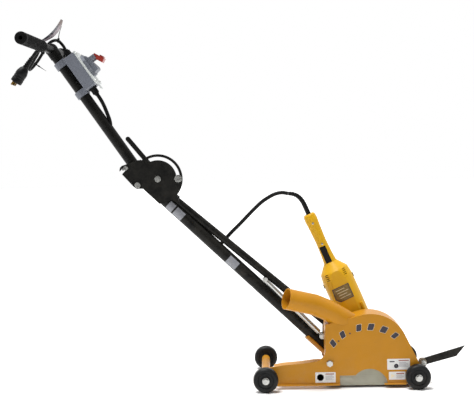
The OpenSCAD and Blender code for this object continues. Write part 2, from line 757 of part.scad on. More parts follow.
module blade() color([0.5, 0.5, 0.52]) place() difference() {
    bar_y(spindle_p, blade_y - blade_t / 2, blade_y + blade_t / 2, blade_d / 2);
    bar_y(spindle_p, -80, -40, 7.95);
    for (a = [0 : 30 : 330]) translate([spindle_p[0], blade_y - 5, spindle_p[1]]) rotate([0, a, 0])
        translate([blade_d / 2 - 14, 0, -0.8]) cube([20, 10, 1.6]);
}
module spindle() color(silver) place() union() {
    bar_y(spindle_p, -82, -50, 7.95);
    bar_y(spindle_p, -50, 46, bearing_bore - fit);
    bar_y(spindle_p, -54, -48, 10);
}
module blade_flanges() color([0.4, 0.4, 0.42]) place() difference() {
    union() {
        bar_y(spindle_p, blade_y + blade_t / 2, -54, 20);
        bar_y(spindle_p, -70, blade_y - blade_t / 2, 20);
    }
    bar_y(spindle_p, -90, -40, 7.95);
}
module arbor_nut() color(silver) place() difference() {
    hex_y(spindle_p, -79, -70, 22);
    bar_y(spindle_p, -90, -60, 7.95);
}
module bevel_wheel() color([0.45, 0.45, 0.47]) place() translate([spindle_p[0], motor_y, spindle_p[1]])
    rotate([90, 0, 0]) rotate(180 - motor_angle + 180 / wheel_teeth) bevel_gear(wheel_teeth, cone_a, 7.5 - fit);

module armature() color([0.6, 0.35, 0.2]) place() on_motor() {
    translate([0, 0, 22]) cylinder(h = 20, r = 3.5);
    translate([0, 0, 42]) cylinder(h = 173, r = bearing_bore - fit);
    translate([0, 0, 96]) cylinder(h = 60, r = 23);
    translate([0, 0, 172]) cylinder(h = 22, r = 14);
    // cooling fan
    translate([0, 0, 84]) cylinder(h = 2, r = 28);
    for (a = [0 : 30 : 330]) rotate(a) translate([8, -1, 84]) cube([18, 2, 9]);
}
module bevel_pinion() color([0.45, 0.45, 0.47]) place() on_motor() rotate(-90)
    bevel_gear(pinion_teeth, 90 - cone_a, 3.5);

// ---- folding upper handle ----

upper_end = (bar_z - knuckle[1]) / sin(upper_angle);
function on_upper(s, v = 0) = knuckle + s * [cos(upper_angle), sin(upper_angle)]
    + v * [sin(upper_angle), -cos(upper_angle)];
// Upper handle's frame: local Z runs up the tube from the knuckle, local X is its top side
module on_upper_tube(s = 0) along(on_upper(s), upper_angle) children();
box_s = 286;
box_len = 98;
box_half = 36;
box_v = [15, 47];

module upper_tube() color(black) place() difference() {
    union() {
        difference() {
            on_upper_tube(-30) ring(upper_end + 30, upper_d / 2, upper_d / 2 - tube_wall);
            fold_side(1);
        }
        // cap that holds the cross bar
        on_upper_tube(upper_end - 22) cylinder(h = 22, r = upper_d / 2 + 1.5);
        translate([bar_x, 0, bar_z]) sphere(r = 17);
        // lug round the fold pivot
        difference() {
            plate(-20, 40) {
                translate(fold_p) circle(r = 9);
                polygon([fold_p + [-9, 0], fold_p + [9, 2], on_upper(30, -6), on_upper(36, -15)]);
            }
            on_upper_tube(-60) cylinder(h = 160, r = upper_d / 2 - tube_wall);
            fold_side(1);
        }
        plate(-20, 40) translate(fold_p) circle(r = 9);
    }
    bar_y(fold_p, -40, 40, 5 + fit);
    bar_y([bar_x, bar_z], -40, 40, 11);
    bar_y(fold_p + clamp_r * [cos(clamp_a), sin(clamp_a)], -40, 40, 4 + fit);
    // hole where the lead enters
    translate(box_route[4]) sphere(r = 7.5);
    bar3(box_route[4], box_route[6], 7.5);
    translate(box_route[4] + [-2, 0, 8]) sphere(r = 7.5);
}

module t_bar() color(black) place() difference() {
    bar_y([bar_x, bar_z], -bar_len / 2 + 3, bar_len / 2 - 3, 11);
    bar_y([bar_x, bar_z], -bar_len, bar_len, 9);
}
module grips() color([0.08, 0.08, 0.08]) place() for (m = [0, 1]) mirror([0, m, 0]) difference() {
    bar_y([bar_x, bar_z], -bar_len / 2, -bar_len / 2 + grip_len, grip_d / 2);
    bar_y([bar_x, bar_z], -bar_len / 2 + 3, 0, 11);
}

module box_walls(grow) translate([box_v[0] - grow, -box_half - grow, -grow])
    cube([box_v[1] - box_v[0] + grow, 2 * (box_half + grow), box_len + 2 * grow]);
module switch_box() color(grey) place() on_upper_tube(box_s) difference() {
    box_walls(0);
    translate([box_v[0] + 3, -box_half + 3, 3])
        cube([box_v[1] - box_v[0], 2 * box_half - 6, box_len - 6]);
    translate([box_v[0] + 15, 0, -5]) cylinder(h = box_len + 10, r = 8);
}
module box_cover() color([0.72, 0.73, 0.74]) place() on_upper_tube(box_s) difference() {
    union() {
        translate([box_v[1], -box_half - 1, -1]) cube([5, 2 * box_half + 2, box_len + 2]);
        translate([box_v[1] + 1, -12, -17]) cube([2, 24, 17]);
    }
    translate([box_v[1] - 1, 0, 52]) rotate([0, 90, 0]) cylinder(h = 10, r = 11);
}
module tube_clamps() color([0.55, 0.56, 0.54]) place() for (s = [box_s - 6, box_s + 86])
    on_upper_tube(s) difference() {
        union() {
            cylinder(h = 18, r = 19);
            translate([0, -19, 0]) cube([box_v[0], 38, 18]);
        }
        translate([0, 0, -1]) cylinder(h = 20, r = upper_d / 2);
        translate([box_v[0], -30, -1]) cube([20, 60, 20]);
    }
module switch_base() color([0.6, 0.64, 0.6]) place() on_upper_tube(box_s + 52)
    translate([box_v[1] + 5, 0, 0]) difference() {
        union() {
            rotate([0, 90, 0]) rotate(22.5) cylinder(h = 8, r = 33, $fn = 8);
            // wedge, taller at its lower end
            translate([0, 20, 0]) rotate([90, 0, 0]) linear_extrude(40)
                polygon([[7, 24], [14, 22], [23, -18], [21, -24], [7, -27]]);
            for (y = [-18, 14]) translate([8, y, 3]) cube([25, 4, 12]);
            rotate([0, -90, 0]) cylinder(h = 25, r = 10.8);
        }
        translate([paddle_x, 30, paddle_z]) rotate([90, 0, 0]) cylinder(h = 60, r = 1.5 + fit);
    }
// Red stop paddle, hinged at its upper end
paddle_x = 28;
paddle_z = 9;
module stop_paddle() color("firebrick") place() on_upper_tube(box_s + 52)
    translate([box_v[1] + 5 + paddle_x, 0, paddle_z]) {
        rotate([0, -27, 0]) {
            translate([-1.5, -13, -27]) cube([12, 26, 30]);
            translate([10, -9, -24]) cube([4, 18, 12]);
        }
        translate([0, 16, 0]) rotate([90, 0, 0]) cylinder(h = 32, r = 1.5);
    }
module cable_glands() color(black) place() on_upper_tube(box_s) for (m = [0, 1])
    translate([box_v[0] + 15, 0, m * box_len]) mirror([0, 0, 1 - m]) difference() {
        union() {
            translate([0, 0, -6]) cylinder(h = 8, r = 7.9);
            cylinder(h = 5, r = 12, $fn = 6);
            translate([0, 0, 5]) cylinder(h = 13, r = 9);
            translate([0, 0, 18]) cylinder(h = 4, r = 6.5);
        }
        translate([0, 0, -7]) cylinder(h = 16, r = 4);
    }

module box_lead() color(black) place() swept(box_route, box_lead_d);
module grinder_lead() color(black) place() swept(grinder_route, lead_d);
module mains_lead() color(black) place() swept(mains_route, mains_d);

module on_plug() translate([plug_end[0], plug_y, plug_end[1]]) rotate([0, 90 - plug_a, 0])
    rotate([180, 0, 0]) children();
module plug_body() color(black) place() on_plug() difference() {
    union() {
        cylinder(h = 30, r = 15);
        translate([0, 0, 30]) cylinder(h = 14, r1 = 15, r2 = 9);
        translate([0, 0, 44]) cylinder(h = 34, r1 = 7.5, r2 = 5);
    }
    translate([0, 0, -1]) cylinder(h = 9, r = 12.5);
}
module plug_prongs() color("gold") place() on_plug() {
    for (y = [-6.3, 6.3]) translate([-3, y - 0.8, -9]) cube([6.3, 1.6, 17]);
    translate([6.5, 0, -11]) cylinder(h = 19, r = 2.4);
}

// Curled paper tag, drawn as a band of constant thickness along an arc
tag_from = [-572, 912];
tag_to = [-512, 965];
tag_bow = 16;
function tag_point(t, lift) = let (d = tag_to - tag_from, n = [d[1], -d[0]] / norm(d))
    tag_from + t * d + (tag_bow * 4 * t * (1 - t) + lift) * n;
module hang_tag() color("white") place() plate(-40, 48) polygon(concat(
    [for (k = [0 : 12]) tag_point(k / 12, 0)], [for (k = [12 : -1 : 0]) tag_point(k / 12, 1)]));

side_plate();
guard_rim();
far_plate();
dust_port();
view_window();
handle_socket();
rear_axle();
front_axle();
axle_bolts();
lower_tube();
quadrant();
pivot_bolts();
frame_bolts();
pointer_bracket();
grinder_lead();
wheel_rear_near();
wheel_rear_far();
wheel_front_near();
wheel_front_far();
pointer_bar();
lever();
depth_stop();
fold_clamp();
pushrod();
strut_cylinder();
strut_rod();
swing_plate();
gear_case();
motor_housing();
handle_half_near();
handle_half_far();
head_screws();
brush_caps();
cord_guard();
stator();
ball_bearings();
switch_module();
blade();
spindle();
bevel_wheel();
blade_flanges();
arbor_nut();
armature();
bevel_pinion();
switch_paddle();
spindle_lock();
upper_tube();
t_bar();
grips();
switch_box();
box_cover();
tube_clamps();
switch_base();
stop_paddle();
cable_glands();
box_lead();
mains_lead();
plug_body();
plug_prongs();
hang_tag();
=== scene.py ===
# Looks for the walk-behind concrete saw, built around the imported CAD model.
import json
from math import cos, pi, radians, sin, tan

import bmesh
import bpy
from mathutils import Matrix, Vector


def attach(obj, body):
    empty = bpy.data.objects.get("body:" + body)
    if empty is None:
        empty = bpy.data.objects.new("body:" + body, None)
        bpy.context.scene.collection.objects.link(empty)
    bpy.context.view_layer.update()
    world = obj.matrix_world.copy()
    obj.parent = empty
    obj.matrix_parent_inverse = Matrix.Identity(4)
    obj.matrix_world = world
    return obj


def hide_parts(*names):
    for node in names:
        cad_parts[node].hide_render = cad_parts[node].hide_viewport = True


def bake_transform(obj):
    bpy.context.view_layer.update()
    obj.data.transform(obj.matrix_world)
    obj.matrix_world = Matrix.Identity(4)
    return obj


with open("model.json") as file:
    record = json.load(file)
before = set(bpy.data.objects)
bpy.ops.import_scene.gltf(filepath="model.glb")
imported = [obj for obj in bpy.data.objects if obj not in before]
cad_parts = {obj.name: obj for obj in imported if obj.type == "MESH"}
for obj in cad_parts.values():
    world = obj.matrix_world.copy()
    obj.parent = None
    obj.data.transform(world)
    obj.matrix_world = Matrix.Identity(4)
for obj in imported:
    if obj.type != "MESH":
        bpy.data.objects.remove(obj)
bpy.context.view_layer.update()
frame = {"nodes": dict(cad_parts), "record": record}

scene = bpy.context.scene
NODES = frame["nodes"]

# ---- the machine's own measures, in mm as in the CAD: X = 0 is the rear axle ----
MID_X = -21.425
NEAR_Y = -95
AXLE_Z, REAR_AXLE_X, FRONT_AXLE_X = 31.75, 0, 387


def at(x, y, z):
    """A point of the machine, from mm, in the row frame."""
    return Vector(((x - MID_X) / 1000, y / 1000, z / 1000))


def polar(a):
    """The cosine and sine of a degrees."""
    return cos(radians(a)), sin(radians(a))


LOWER_MID, LOWER_A, LOWER_R = (-36, 277.5), -43.8, 16
KNUCKLE, UPPER_A = (-304.4, 535), 124
BAR_Z = 890
BAR_X = KNUCKLE[0] + (BAR_Z - KNUCKLE[1]) / tan(radians(UPPER_A))
UPPER_END = (BAR_Z - KNUCKLE[1]) / sin(radians(UPPER_A))
HALF_BAR = 305
SPINDLE, MOTOR_A, MOTOR_Y, MOTOR_R = (270.5, 93), 113, 20, 37


def line_frame(origin, a, y=0):
    """A line in the X-Z plane: its origin, the direction along it, its left-hand side, and +Y."""
    c, s = polar(a)
    return at(origin[0], y, origin[1]), Vector((c, 0, s)), Vector((-s, 0, c)), Vector((0, 1, 0))


def on_lower(s, v=0, y=0):
    """A point s mm along the lower tube from its middle, v above its axis."""
    o, d, n, w = line_frame(LOWER_MID, LOWER_A)
    return o + (d * s + n * v + w * y) / 1000


def on_upper(s, v=0, y=0):
    """A point s mm up the upper tube from the knuckle, v in front of its axis."""
    o, d, n, w = line_frame(KNUCKLE, UPPER_A)
    return o + (d * s - n * v + w * y) / 1000


def on_motor(z, x=0, y=0):
    """z up the motor, x to its right-hand side, y away from the camera, from the motor's axis."""
    o, d, n, w = line_frame(SPINDLE, MOTOR_A, MOTOR_Y)
    return o + (d * z - n * x + w * y) / 1000


# ---- camera ----
YAW, PITCH, ROLL = radians(-2.01), radians(4.18), radians(-1.43)
CAMERA_AT = at(18.3, -2413.7, 651.2)
LENS, SENSOR = 69.585, 36
look_at = Vector((sin(YAW) * cos(PITCH), cos(YAW) * cos(PITCH), -sin(PITCH)))
right = Vector((cos(YAW), -sin(YAW), 0))
up = right.cross(look_at)
right, up = cos(ROLL) * right + sin(ROLL) * up, -sin(ROLL) * right + cos(ROLL) * up
camera = bpy.data.objects.new("camera", bpy.data.cameras.new("camera"))
scene.collection.objects.link(camera)
camera.data.sensor_width = SENSOR
camera.data.lens = LENS
camera.matrix_world = Matrix.Translation(CAMERA_AT) @ Matrix((right, up, -look_at)).transposed().to_4x4()
scene.camera = camera


# ---- materials ----
def srgb(r, g, b):
    """A colour of 0 to 255 as the shader wants it."""
    return tuple(((c / 255 + 0.055) / 1.055) ** 2.4 if c > 10 else c / 255 / 12.92 for c in (r, g, b))


def shade(rgb, f):
    """rgb made f times as bright, with alpha."""
    return tuple(min(1, c * f) for c in rgb) + (1,)


def feed(tree, socket, value):
    """Set an input. A tuple (node, n) is a link from that node's output n."""
    if isinstance(value, tuple) and hasattr(value[0], "outputs"):
        tree.links.new(value[0].outputs[value[1]], socket)
    else:
        socket.default_value = value


def add(tree, kind, **values):
    """A node. A key is one of its properties, an input's name, or i and an input's number."""
    n = tree.nodes.new(kind)
    for key, value in values.items():
        if hasattr(n, key):
            setattr(n, key, value)
        else:
            feed(tree, n.inputs[int(key[1:]) if key[1:].isdigit() else key], value)
    return n


def mixed(tree, share, a, b):
    """A link to a colour between a and b."""
    return add(tree, "ShaderNodeMix", data_type="RGBA", i0=share, i6=a, i7=b), 2


def ranged(tree, value, low, high, to_low, to_high):
    """A link to a value whose range low to high becomes to_low to to_high."""
    return add(tree, "ShaderNodeMapRange", i0=value, i1=low, i2=high, i3=to_low, i4=to_high), 0


DUST = srgb(196, 188, 172) + (1,)
SMOOTHEST, ROUGH_VARY = 0.04, 0.1


def grain_of(tree, where, fine, stretch, weave):
    """A link to the fine grain: noise, noise drawn out by stretch, turned rings, or cells."""
    if stretch:
        drawn = add(tree, "ShaderNodeMapping", Vector=where, Scale=stretch)
        return add(tree, "ShaderNodeTexNoise", Vector=(drawn, 0), Scale=fine, Detail=3.0), 0
    if weave == "rings":
        return add(tree, "ShaderNodeTexWave", Vector=where, Scale=fine, Distortion=1.5, Detail=2.0,
                   wave_type="RINGS", rings_direction="Y"), 1
    if weave == "cells":
        return add(tree, "ShaderNodeTexVoronoi", Vector=where, Scale=fine), 0
    return add(tree, "ShaderNodeTexNoise", Vector=where, Scale=fine, Detail=2.0), 0


def scratched(tree, where, colour, rgb, strength):
    """Thin darker lines across colour."""
    squeezed = add(tree, "ShaderNodeMapping", Vector=where, Scale=(30, 60, 420), Rotation=(0.3, 0.5, 0.2))
    lines = add(tree, "ShaderNodeTexNoise", Vector=(squeezed, 0), Scale=1.0, Detail=1.0)
    return mixed(tree, ranged(tree, (lines, 0), 0.66, 0.72, 0, strength), colour, shade(rgb, 0.45))


def chipped(tree, where, colour, under):
    """Small chips where the paint has come off and under shows."""
    chips = add(tree, "ShaderNodeTexNoise", Vector=where, Scale=160.0, Detail=6.0, Roughness=0.7)
    return mixed(tree, ranged(tree, (chips, 0), 0.70, 0.73, 0, 0.8), colour, under + (1,))


def dusty(tree, where, colour, dust, dust_z):
    """Clouds of dust on colour, which thin out up to dust_z metres."""
    height = add(tree, "ShaderNodeSeparateXYZ", Vector=where)
    low = ranged(tree, (height, 2), 0.0, dust_z, dust, dust * 0.12)
    cloud = add(tree, "ShaderNodeTexNoise", Vector=where, Scale=40.0, Detail=6.0, Roughness=0.65)
    cloudy = ranged(tree, (cloud, 0), 0.35, 0.75, 0, 1)
    both = add(tree, "ShaderNodeMath", operation="MULTIPLY", i0=low, i1=cloudy)
    return mixed(tree, (both, 0), colour, DUST)


def look(name, rgb, rough=0.5, metal=0.0, vary=0.12, big=14, fine=900, bump=0.12, depth=0.0002,
         dust=0.0, dust_z=0.25, scratch=0.0, stretch=None, coat=0.0, weave=None, under=None,
         specular=0.5, alpha=1.0):
    """A procedural material: broad colour changes, fine grain in bump and roughness, and, where asked for,
    scratches, chips and dust. The textures are placed in the object's own metres."""
    m = bpy.data.materials.new(name)
    m.use_nodes = True
    t = m.node_tree
    where = (add(t, "ShaderNodeTexCoord"), 3)
    broad = add(t, "ShaderNodeTexNoise", Vector=where, Scale=big, Detail=5.0, Roughness=0.6)
    patch = ranged(t, (broad, 0), 0.3, 0.7, 0, 1)
    colour = mixed(t, patch, shade(rgb, 1 - vary), shade(rgb, 1 + vary))
    grain = grain_of(t, where, fine, stretch, weave)
    if scratch:
        colour = scratched(t, where, colour, rgb, scratch)
    if under:
        colour = chipped(t, where, colour, under)
    if dust:
        colour = dusty(t, where, colour, dust, dust_z)
    roughness = ranged(t, grain, 0.3, 0.7, max(SMOOTHEST, rough - ROUGH_VARY), min(1, rough + ROUGH_VARY))
    raised = add(t, "ShaderNodeBump", Strength=bump, Distance=depth, Height=grain)
    values = {"Base Color": colour, "Roughness": roughness, "Normal": (raised, 0), "Metallic": metal,
              "Specular IOR Level": specular, "Coat Weight": coat, "Coat Roughness": 0.15, "Alpha": alpha}
    for key, value in values.items():
        feed(t, t.nodes["Principled BSDF"].inputs[key], value)
    return m


BARE = srgb(120, 112, 100)
LOOKS = {
    "yellow_paint": look("yellow_paint", srgb(190, 130, 22), 0.36, vary=0.07, big=9, fine=1500, bump=0.10,
                         dust=0.10, dust_z=0.10, scratch=0.10, specular=0.22, under=BARE),
    "black_paint": look("black_paint", srgb(13, 13, 12), 0.42, vary=0.18, fine=1700, bump=0.16, dust=0.06,
                        dust_z=0.9, specular=0.16),
    "zinc_steel": look("zinc_steel", srgb(186, 186, 182), 0.30, metal=1.0, vary=0.10, big=60, fine=500,
                       bump=0.06),
    "clear_window": look("clear_window", srgb(188, 188, 168), 0.38, vary=0.08, big=30, fine=220, bump=0.05,
                         dust=0.5, dust_z=0.06, alpha=0.62, scratch=0.15),
    "black_wheel": look("black_wheel", srgb(14, 15, 16), 0.46, vary=0.2, big=50, fine=1100, bump=0.22,
                        dust=0.04, dust_z=0.05, specular=0.25),
    "grip_rubber": look("grip_rubber", srgb(12, 12, 12), 0.62, vary=0.2, fine=1500, bump=0.5, depth=0.0004,
                        weave="cells", specular=0.12),
    "lead_rubber": look("lead_rubber", srgb(13, 13, 13), 0.48, vary=0.15, fine=1200, bump=0.12, specular=0.2),
    "yellow_plastic": look("yellow_plastic", srgb(218, 166, 14), 0.40, vary=0.05, big=12, fine=2600, bump=0.2,
                           depth=0.0001, dust=0.05, dust_z=0.5, scratch=0.05, specular=0.25),
    "black_plastic": look("black_plastic", srgb(14, 14, 15), 0.45, vary=0.15, fine=2400, bump=0.12,
                          depth=0.0001, specular=0.2),
    "grey_plastic": look("grey_plastic", srgb(112, 116, 126), 0.5, vary=0.06, fine=1400, bump=0.08,
                         depth=0.0001, dust=0.06, dust_z=1.2),
    "pale_plastic": look("pale_plastic", srgb(204, 208, 206), 0.45, vary=0.04, fine=1400, bump=0.06,
                         depth=0.0001),
    "red_plastic": look("red_plastic", srgb(160, 52, 42), 0.34, vary=0.12, fine=2000, bump=0.12, coat=0.2),
    "cast_alloy": look("cast_alloy", srgb(168, 168, 164), 0.48, metal=0.85, vary=0.12, fine=420, bump=0.5,
                       dust=0.25, dust_z=0.3),
    "blade_steel": look("blade_steel", srgb(158, 158, 160), 0.32, metal=1.0, vary=0.1, fine=60, bump=0.05,
                        weave="rings", scratch=0.2),
    "dark_steel": look("dark_steel", srgb(110, 110, 114), 0.36, metal=1.0, vary=0.15, fine=600, bump=0.1),
    "bracket_steel": look("bracket_steel", srgb(122, 108, 88), 0.6, vary=0.25, big=60, fine=800, bump=0.3,
                          dust=0.4, dust_z=0.2),
    "copper": look("copper", srgb(176, 104, 66), 0.38, metal=1.0, vary=0.2, fine=500, bump=0.3,
                   stretch=(1, 1, 9)),
    "brass": look("brass", srgb(150, 118, 60), 0.28, metal=1.0, vary=0.12, fine=700, bump=0.08),
    "sticker": look("sticker", srgb(226, 226, 224), 0.42, vary=0.03, fine=600, bump=0.05, dust=0.10,
                    dust_z=0.2),
    "tube_sticker": look("tube_sticker", srgb(140, 142, 148), 0.38, vary=0.05, fine=900, bump=0.08),
    "ink_dark": look("ink_dark", srgb(44, 40, 52), 0.45, vary=0.1, fine=900, bump=0.05),
    "ink_red": look("ink_red", srgb(150, 66, 54), 0.45, vary=0.1, fine=900, bump=0.05),
    "ink_grey": look("ink_grey", srgb(150, 150, 156), 0.45, vary=0.1, fine=900, bump=0.05),
    "ink_pale": look("ink_pale", srgb(236, 222, 186), 0.42, vary=0.04, fine=900, bump=0.05),
    "nameplate": look("nameplate", srgb(118, 96, 52), 0.34, metal=0.5, vary=0.25, big=120, fine=900,
                      bump=0.1),
}


def card_look():
    """Coated card: pale with a pink cast, a dark blue-violet near half and a brown tip."""
    m = look("card", srgb(150, 136, 142), 0.40, vary=0.05, big=60, fine=1200, bump=0.06)
    t = m.node_tree
    colour = t.nodes["Principled BSDF"].inputs["Base Color"]
    base = (colour.links[0].from_node, 2)
    split = add(t, "ShaderNodeSeparateXYZ", Vector=(add(t, "ShaderNodeUVMap"), 0))
    edge = ranged(t, (split, 0), 0.52, 0.64, 0, 1)
    tip = ranged(t, (split, 1), 0.74, 0.90, 0, 0.9)
    foot = ranged(t, (split, 1), 0.16, 0.06, 0, 0.6)
    printed = mixed(t, edge, base, srgb(26, 24, 44) + (1,))
    tipped = mixed(t, tip, printed, srgb(84, 54, 38) + (1,))
    feed(t, colour, mixed(t, foot, tipped, srgb(70, 56, 70) + (1,)))
    return m


LOOKS["paper"] = card_look()
SLOT_OF = {s["node"]: s["material_slot"] for s in frame["record"]["subparts"]}


# ---- building pieces ----
def piece(name, mesh, looks, body):
    """A new object that rides on body, where there is one. looks is a look's name, or a list of them for the
    mesh's material indices."""
    o = bpy.data.objects.new(name, mesh)
    scene.collection.objects.link(o)
    for key in [looks] if isinstance(looks, str) else looks:
        mesh.materials.append(LOOKS[key])
    mesh.polygons.foreach_set("use_smooth", [True] * len(mesh.polygons))
    if body:
        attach(o, body)
    return o


def mesh_of(name, points, faces, kinds=None):
    """A mesh from points and faces. kinds is each face's material index."""
    m = bpy.data.meshes.new(name)
    m.from_pydata([tuple(p) for p in points], [], faces)
    if kinds:
        m.polygons.foreach_set("material_index", kinds)
    m.validate()
    m.update()
    return m


def fix_normals(mesh):
    """Turn every face outwards."""
    b = bmesh.new()
    b.from_mesh(mesh)
    bmesh.ops.recalc_face_normals(b, faces=b.faces)
    b.to_mesh(mesh)
    b.free()


def by_angle(o, angle=35):
    """Smooth shading except at sharp edges."""
    o.data.set_sharp_from_angle(angle=radians(angle))
    return o


def smooth_route(points, per=6):
    """More points on a smooth line through these ones."""
    out = []
    p = [points[0] * 2 - points[1], *points, points[-1] * 2 - points[-2]]
    for i in range(1, len(p) - 2):
        for k in range(per):
            u = k / per
            out.append(0.5 * (2 * p[i] + (p[i + 1] - p[i - 1]) * u
                              + (2 * p[i - 1] - 5 * p[i] + 4 * p[i + 1] - p[i + 2]) * u * u
                              + (3 * p[i] - p[i - 1] - 3 * p[i + 1] + p[i + 2]) * u ** 3))
    return out + [points[-1].copy()]


def length_of(line):
    return sum((b - a).length for a, b in zip(line, line[1:]))


def ring(centre, r, u, w, n):
    """n points of a circle of r metres, in the plane of u and w."""
    return [centre + r * (cos(2 * pi * k / n) * u + sin(2 * pi * k / n) * w) for k in range(n)]


def across(axis):
    """axis as a unit vector, and two more at right angles to it."""
    axis = Vector(axis).normalized()
    u = axis.orthogonal().normalized()
    return axis, u, axis.cross(u)


def tube_mesh(name, line, radius, sides=16, closed=False):
    """A tube along line. radius is a number in metres or a function of the share of its length."""
    n = len(line)
    total, gone = length_of(line), 0.0
    points, faces = [], []
    normal = None
    for i, p in enumerate(line):
        if closed:
            t = (line[(i + 1) % n] - line[i - 1]).normalized()
        else:
            t = (line[min(i + 1, n - 1)] - line[max(i - 1, 0)]).normalized()
        if normal is None:
            normal = t.orthogonal().normalized()
        normal = (normal - t * normal.dot(t)).normalized()
        other = t.cross(normal)
        if i:
            gone += (p - line[i - 1]).length
        r = radius(gone / total) if callable(radius) else radius
        points += ring(p, r, normal, other, sides)
    for i in range(n if closed else n - 1):
        j = (i + 1) % n
        faces += [(i * sides + k, i * sides + (k + 1) % sides, j * sides + (k + 1) % sides, j * sides + k)
                  for k in range(sides)]
    if not closed:
        faces += [tuple(range(sides))[::-1], tuple((n - 1) * sides + k for k in range(sides))]
    return mesh_of(name, points, faces)


ON_AXIS = 1e-6


def lathe_mesh(name, profile, origin, axis, sides=48):
    """A turned shape. profile is (radius, distance along axis) in mm. It starts and ends on the axis, or it
    is a closed loop clear of the axis."""
    axis, u, w = across(axis)
    points, faces, rows = [], [], []
    for r, t in profile:
        here = origin + axis * t / 1000
        if r < ON_AXIS:
            rows.append([len(points)] * sides)
            points.append(here)
        else:
            rows.append(list(range(len(points), len(points) + sides)))
            points += ring(here, r / 1000, u, w, sides)
    loop = profile[0][0] > ON_AXIS
    for i in range(len(rows) if loop else len(rows) - 1):
        a, b = rows[i], rows[(i + 1) % len(rows)]
        for k in range(sides):
            m = (k + 1) % sides
            f = [a[k], a[m], b[m], b[k]]
            f = [v for q, v in enumerate(f) if v not in f[:q]]
            if len(f) > 2:
                faces.append(tuple(f[::-1]))
    mesh = mesh_of(name, points, faces)
    fix_normals(mesh)
    return mesh


def slab(outline, depth, place):
    """Points and faces of an outline, (x, z) in mm, made depth mm thick. place turns x, y, z into a point."""
    n = len(outline)
    points = [place(x, y, z) for y in (0, -depth) for x, z in outline]
    faces = [tuple(range(n)), tuple(range(n, 2 * n))[::-1]]
    faces += [(i, (i + 1) % n, n + (i + 1) % n, n + i)[::-1] for i in range(n)]
    return points, faces


def rounded(x0, z0, x1, z1, r, steps=4):
    """A rectangle with rounded corners, as an outline."""
    out = []
    corners = ((x1 - r, z1 - r, 0), (x0 + r, z1 - r, 90), (x0 + r, z0 + r, 180), (x1 - r, z0 + r, 270))
    for cx, cz, a in corners:
        out += [(cx + r * cos(radians(a + 90 * k / steps)), cz + r * sin(radians(a + 90 * k / steps)))
                for k in range(steps + 1)]
    return out


def disc(cx, cz, r, n=24):
    """A circle as an outline of n points."""
    return [(cx + r * cos(2 * pi * k / n), cz + r * sin(2 * pi * k / n)) for k in range(n)]


def layers(name, parts, place, looks, body):
    """One piece of several thin slabs: parts is (outline, start, depth, look index), in mm."""
    points, faces, kinds = [], [], []
    for outline, start, depth, kind in parts:
        p, f = slab(outline, depth, lambda x, y, z: place(x, y - start, z))
        faces += [tuple(v + len(points) for v in face) for face in f]
        kinds += [kind] * len(f)
        points += p
    m = mesh_of(name, points, faces, kinds)
    fix_normals(m)
    return by_angle(piece(name, m, looks, body))


# ---- leads first: they lie where their CAD solids are, so their routes are part.scad's ----
LEAD_D, MAINS_D = 0.010, 0.008
grinder_route = [(-117, 15, 363), (-110, 24, 369), (-100, 28, 379), (-84, 28, 396), (-65, 27, 414),
                 (-46, 26, 433), (-24, 25, 455), (-2, 23, 475), (16, 22, 487), (34, 21, 496), (52, 20, 499.5),
                 (69.5, 20, 497)]
sleeve_route = [(70, 20, 497), (81, 20, 495.5), (92, 20, 491), (101.5, 20, 483), (108.5, 20, 473),
                (114, 20, 461.5), (118, 20, 452), (122.5, 20, 441.5), (126.5, 20, 432)]
box_route = [(-427, 0, 770.5), (-419, 0, 758), (-411, 0, 742), (-403, 0, 721), (-397, 0, 703),
             (-395, 0, 688), (-397, 0, 674)]
mains_route = [(-506.5, 0, 888.5), (-514, 3, 901), (-527, 10, 914), (-541, 16, 916), (-555, 20, 909),
               (-565, 20, 895), (-575, 18, 880), (-586, 15, 863), (-597, 9, 848), (-603, -2, 840),
               (-601, -13, 843), (-592, -20, 855), (-582, -24, 868), (-574, -28, 879), (-569, -36, 886),
               (-567, -45, 888), (-569, -54, 884), (-574, -59, 876), (-580.5, -60, 867)]


def lead(name, route, diameter, body=None):
    """A rubber lead, and the line that it follows."""
    line = smooth_route([at(*p) for p in route])
    o = piece(name, tube_mesh(name, line, diameter / 2), "lead_rubber", body)
    return o, line


sleeve_line = smooth_route([at(*p) for p in sleeve_route], 10)


SLEEVE_GROOVES, SLEEVE_GROOVED = 14, 0.55


def sleeve_radius(s):
    """The sleeve's radius in metres at the share s of its length: it widens, and its first part is grooved."""
    groove = 0.4 if s < SLEEVE_GROOVED and sin(s * 2 * pi * SLEEVE_GROOVES) > 0.2 else 0
    return (5.35 + 1.15 * min(1, s * 2.2) - groove) / 1000


sleeve = piece("lead_sleeve", tube_mesh("lead_sleeve", sleeve_line, sleeve_radius, 20), "lead_rubber", "head")
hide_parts("cord_guard")

PLUG_END, PLUG_DIR = at(-626, -60, 804), Vector((0.5855, 0, 0.8107))
PLUG_RIBS, PLUG_RIB_STEP = 5, 6
plug_profile = [(0, 8), (12.4, 8), (12.5, 0.6), (13.4, 0), (14.7, 0.8), (15, 2.5), (15, 12), (14.2, 13),
                (14.2, 15), (15, 16), (15, 18), (14.2, 19), (14.2, 21), (15, 22), (14.9, 29), (14.2, 32),
                (11.6, 40), (9.2, 43.5), (7.4, 45)]
for k in range(PLUG_RIBS):
    r, t = 7.5 - k * 0.42, 46 + k * PLUG_RIB_STEP
    plug_profile += [(r, t), (r - 0.1, t + 3.5), (r - 1.4, t + 4.2), (r - 1.5, t + 5.4)]
plug_profile += [(5, 77), (4.6, 78), (0, 78)]
plug = piece("plug_detail", lathe_mesh("plug_detail", plug_profile, PLUG_END, PLUG_DIR, 40), "black_plastic",
             "upper_handle")
by_angle(plug, 50)
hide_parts("plug_body")

